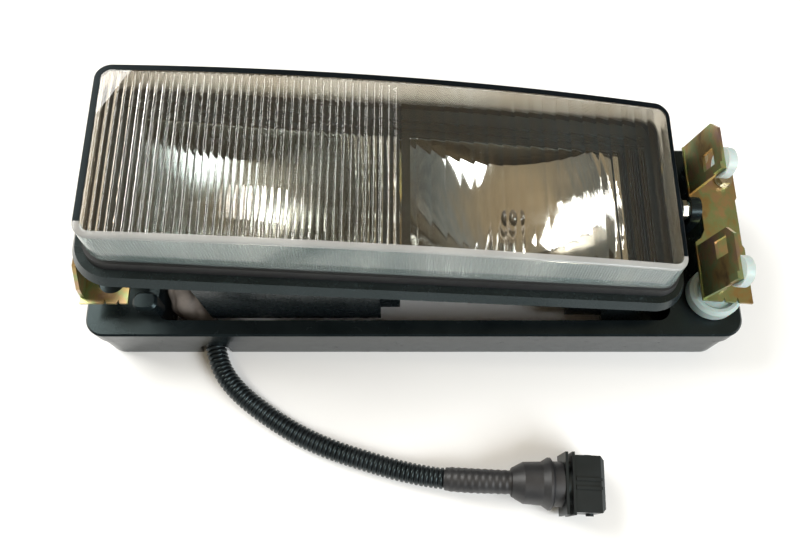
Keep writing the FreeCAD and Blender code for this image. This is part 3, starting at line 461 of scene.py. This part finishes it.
# ------------------------------------------------------------------ lens
LENS_DRAFT = 2.6 * MM
LENS_WALL = 3.0 * MM
LENS_CORNER = 9.0 * MM
LENS_EDGE = 1.1 * MM                    # rounding between face and walls
SHADE_STRIP_WIDTH = 3.9 * MM                  # painted shade on three sides of the face: the clear edge drawn black where it shows the black sealant through the glass
RIGHT_SPREAD = 0.73                     # the right wall leans out less than the others
RIM_SLOPE = math.tan(math.radians(8.4))
lens_low, lens_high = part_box("lens")
LENS_LEFT, LENS_RIGHT = lens_low.x + LENS_DRAFT, lens_high.x - RIGHT_SPREAD * LENS_DRAFT
LENS_BOTTOM = lens_low.y + LENS_DRAFT
LENS_MIDDLE = -8.0 * MM                 # seam between the fluted and the clear half
TOP_RIGHT = lens_high.y - LENS_DRAFT - 0.2 * MM
TOP_MIDDLE = TOP_RIGHT - 0.7 * MM
TOP_LEFT = TOP_RIGHT - 6.1 * MM
FACE_LEFT = lens_high.z - 0.05 * MM
FACE_MIDDLE = FACE_LEFT - 19.8 * MM
FACE_RIGHT = FACE_LEFT - 50.6 * MM
FLUTE_PITCH = 4.07 * MM
FLUTE_DEPTH = 0.62 * MM
BROAD_PITCH = 8.2 * MM
BROAD_DEPTH = 0.34 * MM
RIB_PITCH = 1.6 * MM
RIB_DEPTH = 0.13 * MM


def through_three(x, points):
    """Value at x of the parabola through three (x, value) points."""
    total = 0.0
    for i, (xi, vi) in enumerate(points):
        share = 1.0
        for j, (xj, _) in enumerate(points):
            if i != j:
                share *= (x - xj) / (xi - xj)
        total += vi * share
    return total


def face_height(x):
    return through_three(x, [(LENS_LEFT, FACE_LEFT), (LENS_MIDDLE, FACE_MIDDLE),
                             (LENS_RIGHT, FACE_RIGHT)])


def rim_height(x):
    return lens_low.z + RIM_SLOPE * (lens_high.x - x)


def top_edge(x):
    return through_three(x, [(LENS_LEFT, TOP_LEFT), (LENS_MIDDLE, TOP_MIDDLE),
                             (LENS_RIGHT, TOP_RIGHT)])


def arch(x, pitch, depth):
    """Row of rounded flutes that meet in sharp grooves."""
    phase = (x / pitch) % 1.0
    return depth * (1 - (2 * phase - 1) ** 2)


def flute(x):
    if x < LENS_MIDDLE:
        return arch(x - LENS_MIDDLE, FLUTE_PITCH, FLUTE_DEPTH)
    return arch(x - LENS_MIDDLE, BROAD_PITCH, BROAD_DEPTH)


def lens_shares():
    """Places across the lens from 0 to 1, closer together in the rounded corners."""
    width = LENS_RIGHT - LENS_LEFT
    near_end = [0, 0.05, 0.18, 0.4, 0.7, 1.1, 1.6, 2.2, 2.9, 3.7]
    middle_start = 4.2 * MM
    count = 960
    middle = [middle_start + (width - 2 * middle_start) * k / count for k in range(count + 1)]
    across = [c * MM for c in near_end] + middle + [width - c * MM for c in reversed(near_end)]
    return [a / width for a in across]


SHARES = lens_shares()
ROWS = 20


def lens_place(share_x, share_y, grow):
    """Plan place on the lens outline grown by grow, with rounded corners."""
    left, right = LENS_LEFT - grow, LENS_RIGHT + RIGHT_SPREAD * grow
    x = left + share_x * (right - left)
    radius = max(LENS_CORNER + grow, 1.0 * MM)
    from_end = min(x - left, right - x)
    cut = 0.0
    if from_end < radius:
        cut = radius - math.sqrt(max(radius ** 2 - (radius - from_end) ** 2, 0))
    low = LENS_BOTTOM - grow + cut
    high = top_edge(x) + grow - cut
    return x, low + share_y * (high - low)


def lens_grid(grow, height_at):
    grid = []
    for share_x in SHARES:
        column = []
        for row in range(ROWS + 1):
            x, y = lens_place(share_x, row / ROWS, grow)
            column.append(Vector((x, y, height_at(x))))
        grid.append(column)
    return grid


def border_keys():
    """(column, row) of the border, counter-clockwise from the bottom left."""
    last = len(SHARES) - 1
    keys = [(c, 0) for c in range(last)]
    keys += [(last, r) for r in range(ROWS)]
    keys += [(c, ROWS) for c in range(last, 0, -1)]
    keys += [(0, r) for r in range(ROWS, 0, -1)]
    return keys


def border_loop(keys, grow, height_at, ripple=0.0):
    loop = []
    for column, row in keys:
        x, y = lens_place(SHARES[column], row / ROWS, grow)
        height = height_at(x)
        if ripple and row == 0:
            y += ripple * math.sin(2 * math.pi * x / RIB_PITCH)
        elif ripple and row == ROWS:
            y += ripple * math.sin(2 * math.pi * (x + 0.6 * height) / RIB_PITCH)
        elif ripple:
            x += ripple * math.sin(2 * math.pi * (y + 0.6 * height) / RIB_PITCH)
        loop.append(Vector((x, y, height)))
    return loop


# slots: 1 painted shade on the top and side edges, 2 walls with painted cream light, 3 the lower
# wall with painted teal light, 4 the lower edge with a painted highlight
EDGE_SHADE_SLOT, WALL_SLOT, LOWER_WALL_LIT_SLOT, LOWER_EDGE_HIGHLIGHT_SLOT = 1, 2, 3, 4
LOWER_LIT_COPY_OF = {EDGE_SHADE_SLOT: LOWER_EDGE_HIGHLIGHT_SLOT, WALL_SLOT: LOWER_WALL_LIT_SLOT}


def lens_mesh():
    """Closed glass shell: face with flutes inside, rounded edge, drafted walls."""
    keys = border_keys()
    edge_steps, wall_steps = 5, 34
    sheets, faces, marks = [], [], []

    def add_grid(grid, flip):
        start = sum(len(s) for s in sheets)
        sheets.append([v for column in grid for v in column])
        rows = ROWS + 1
        for c in range(len(SHARES) - 1):
            for r in range(ROWS):
                a = start + c * rows + r
                quad = (a, a + rows, a + rows + 1, a + 1)
                faces.append(quad[::-1] if flip else quad)
                marks.append(0)
        return [start + c * rows + r for c, r in keys]

    def add_loop(loop, before, kind):
        start = sum(len(s) for s in sheets)
        sheets.append(loop)
        now = list(range(start, start + len(loop)))
        for k in range(len(loop)):
            n = (k + 1) % len(loop)
            faces.append((before[k], now[k], now[n], before[n]))
            lower = keys[k][1] == 0 and keys[n][1] == 0
            # faces along the bottom take the lower copies: a painted highlight on the edge, painted
            # teal light on the wall
            marks.append(LOWER_LIT_COPY_OF[kind] if lower else kind)
        return now

    outer = add_grid(lens_grid(-SHADE_STRIP_WIDTH, face_height), False)
    outer = add_loop(border_loop(keys, -LENS_EDGE, face_height), outer, EDGE_SHADE_SLOT)
    for step in range(1, edge_steps + 1):
        turn = math.pi / 2 * step / edge_steps
        grow = -LENS_EDGE + LENS_EDGE * math.sin(turn)
        drop = LENS_EDGE * (1 - math.cos(turn))
        outer = add_loop(border_loop(keys, grow, lambda x: face_height(x) - drop), outer, EDGE_SHADE_SLOT)
    for step in range(1, wall_steps + 1):
        share = step / wall_steps

        def wall_height(x):
            top = face_height(x) - LENS_EDGE
            return top + share * (rim_height(x) - top)

        outer = add_loop(border_loop(keys, share * LENS_DRAFT, wall_height), outer, WALL_SLOT)
    for step in range(wall_steps + 1):
        share = 1 - step / wall_steps

        def inner_height(x):
            top = face_height(x) - LENS_WALL - LENS_EDGE
            return top + share * (rim_height(x) - top)

        grow = share * LENS_DRAFT - LENS_WALL
        outer = add_loop(border_loop(keys, grow, inner_height, RIB_DEPTH), outer, WALL_SLOT)

    def inner_face(x):
        return face_height(x) - LENS_WALL - 0.3 * MM + flute(x)

    inner = add_grid(lens_grid(-LENS_WALL - 1.0 * MM, inner_face), True)
    for k in range(len(keys)):
        n = (k + 1) % len(keys)
        faces.append((outer[k], inner[k], inner[n], outer[n]))
        marks.append(WALL_SLOT)
    return [v for s in sheets for v in s], faces, marks


def add_lens():
    vertices, faces, marks = lens_mesh()
    mesh = bpy.data.meshes.new("lens_fluted")
    mesh.from_pydata([tuple(v) for v in vertices], [], faces)
    mesh.shade_smooth()
    mesh.set_sharp_from_angle(angle=math.radians(24))
    piece = bpy.data.objects.new("lens_fluted", mesh)
    bpy.context.scene.collection.objects.link(piece)
    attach(piece, "lamp")
    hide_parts("lens")
    # painted shade: the clear front edge on the top and sides drawn black, for the dark sealant
    # seen through the glass edge
    edge_shade = black_plastic("lens_edge_painted_shade",
                         (0.002, 0.003, 0.004), (0.005, 0.007, 0.009), 0.30, 0.40, 0.08)
    # painted light: the clear walls tinted cream, for the pale background light seen through them
    wall = frosted_wall("lens_wall_painted_cream_light",
                        [(0.35, (0.70, 0.62, 0.50)), (0.7, (0.88, 0.84, 0.75))], 0.78)
    # painted light: the same clear wall tinted teal-grey on the bottom side, for how that side is
    # lit
    lower = frosted_wall("lens_wall_low_painted_teal_light",
                         [(0.35, (0.36, 0.45, 0.44)), (0.7, (0.62, 0.68, 0.66))], 0.72)
    # painted highlight: the bottom front edge drawn near white, for the light it catches from below
    edge = frosted_wall("lens_edge_painted_highlight",
                        [(0.35, (0.62, 0.62, 0.61)), (0.7, (0.84, 0.84, 0.82))], 0.62)
    paint(piece, "lens_glass", edge_shade, wall, lower, edge)
    for polygon, mark in zip(mesh.polygons, marks):
        polygon.material_index = mark


add_lens()


# ------------------------------------------------------------------ reflectors
OPTIC_Y = -3.0 * MM
BEZEL_DROP = 9.6 * MM
MIRROR_STEP = 1.5 * MM


def add_reflector(name, axis_x, apex, focal, span):
    """Paraboloid dish with upright walls, drawn up to the back of the bezel."""
    low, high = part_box(name + "_reflector")
    x0, x1 = span
    y0, y1 = low.y + 2 * MM, high.y - 2 * MM
    columns = int((x1 - x0) / MIRROR_STEP)
    rows = int((y1 - y0) / MIRROR_STEP)
    vertices, faces, index = [], [], {}

    def vertex(key, place):
        if key not in index:
            index[key] = len(vertices)
            vertices.append(place)
        return index[key]

    def dish(c, r):
        x = x0 + (x1 - x0) * c / columns
        y = y0 + (y1 - y0) * r / rows
        z = apex + ((x - axis_x) ** 2 + (y - OPTIC_Y) ** 2) / (4 * focal)
        return Vector((x, y, min(z, rim_height(x) - BEZEL_DROP)))

    for c in range(columns):
        for r in range(rows):
            corners = [(c, r), (c + 1, r), (c + 1, r + 1), (c, r + 1)]
            places = [dish(*k) for k in corners]
            if all(math.hypot(p.x - axis_x, p.y - OPTIC_Y) < 7.0 * MM for p in places):
                continue
            faces.append([vertex(k, p) for k, p in zip(corners, places)])
    border = [(c, 0) for c in range(columns)] + [(columns, r) for r in range(rows)]
    border += [(c, rows) for c in range(columns, 0, -1)] + [(0, r) for r in range(rows, 0, -1)]
    wall_rows = 6
    for k, key in enumerate(border):
        following = border[(k + 1) % len(border)]
        for step in range(wall_rows):
            ring = []
            for key_now, share in ((key, step), (following, step),
                                   (following, step + 1), (key, step + 1)):
                foot = dish(*key_now)
                top = rim_height(foot.x) - BEZEL_DROP
                place = Vector((foot.x, foot.y, foot.z + (top - foot.z) * share / wall_rows))
                ring.append(vertex(key_now if share == 0 else (key_now, share), place))
            faces.append(ring)
    piece = mesh_object(name + "_mirror_dish", vertices, faces, "lamp", 30)
    thick = piece.modifiers.new("thickness", "SOLIDIFY")
    thick.thickness = 1.2 * MM
    thick.offset = -1
    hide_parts(name + "_reflector")
    return piece


fog_dish = add_reflector("fog", -96 * MM, 40 * MM, 30 * MM, (-151 * MM, -16 * MM))
driving_dish = add_reflector("driving", 61 * MM, 36 * MM, 36 * MM, (-2 * MM, 129 * MM))
paint(fog_dish, mirror("mirror_satin", (0.30, 0.33, 0.31), (0.44, 0.45, 0.42), 0.20, 0.32))
paint(driving_dish, "reflector_mirror")


# ------------------------------------------------------------------ floor and light
def add_floor():
    mesh = bpy.data.meshes.new("floor")
    half = 6.0
    corners = [(-half, -half, 0), (half, -half, 0), (half, half, 0), (-half, half, 0)]
    mesh.from_pydata(corners, [], [(0, 1, 2, 3)])
    floor = bpy.data.objects.new("floor", mesh)
    bpy.context.scene.collection.objects.link(floor)
    mesh.materials.append(floor_white())


def area_light(name, place, target, size, power, colour):
    data = bpy.data.lights.new(name, "AREA")
    data.shape = "RECTANGLE"
    data.size, data.size_y = size
    data.energy = power
    data.color = colour
    light = bpy.data.objects.new(name, data)
    light.location = place
    aim = Vector(target) - Vector(place)
    light.rotation_euler = aim.to_track_quat("-Z", "Y").to_euler()
    bpy.context.scene.collection.objects.link(light)


def add_world():
    """Pale room: a warm glow overhead and a dim grey horizon."""
    world = bpy.data.worlds.new("studio")
    bpy.context.scene.world = world
    world.use_nodes = True
    nodes, links = world.node_tree.nodes, world.node_tree.links
    background = nodes["Background"]
    place = nodes.new("ShaderNodeTexCoord")
    split = nodes.new("ShaderNodeSeparateXYZ")
    ramp = nodes.new("ShaderNodeValToRGB")
    links.new(place.outputs["Generated"], split.inputs["Vector"])
    links.new(split.outputs["Z"], ramp.inputs["Fac"])
    stops = [(0.0, (0.10, 0.12, 0.13)), (0.25, (0.16, 0.20, 0.21)), (0.5, (0.30, 0.33, 0.32)),
             (0.72, (0.42, 0.36, 0.26)), (0.9, (0.62, 0.48, 0.30)), (1.0, (0.58, 0.44, 0.27))]
    while len(ramp.color_ramp.elements) < len(stops):
        ramp.color_ramp.elements.new(0.5)
    for element, (position, colour) in zip(ramp.color_ramp.elements, stops):
        element.position = position
        element.color = (*colour, 1)
    links.new(ramp.outputs["Color"], background.inputs["Color"])
    background.inputs["Strength"].default_value = 0.85


add_floor()
add_world()
area_light("key", (-0.85, 0.55, 1.05), (0, 0, 0.05), (1.0, 0.7), 26, (1.0, 0.99, 0.96))
area_light("fill", (0.95, -0.75, 0.95), (0.05, 0, 0.05), (0.8, 0.7), 22, (0.93, 0.97, 1.0))
bpy.context.scene.view_settings.view_transform = "Standard"


def write_size():
    import json


write_size()
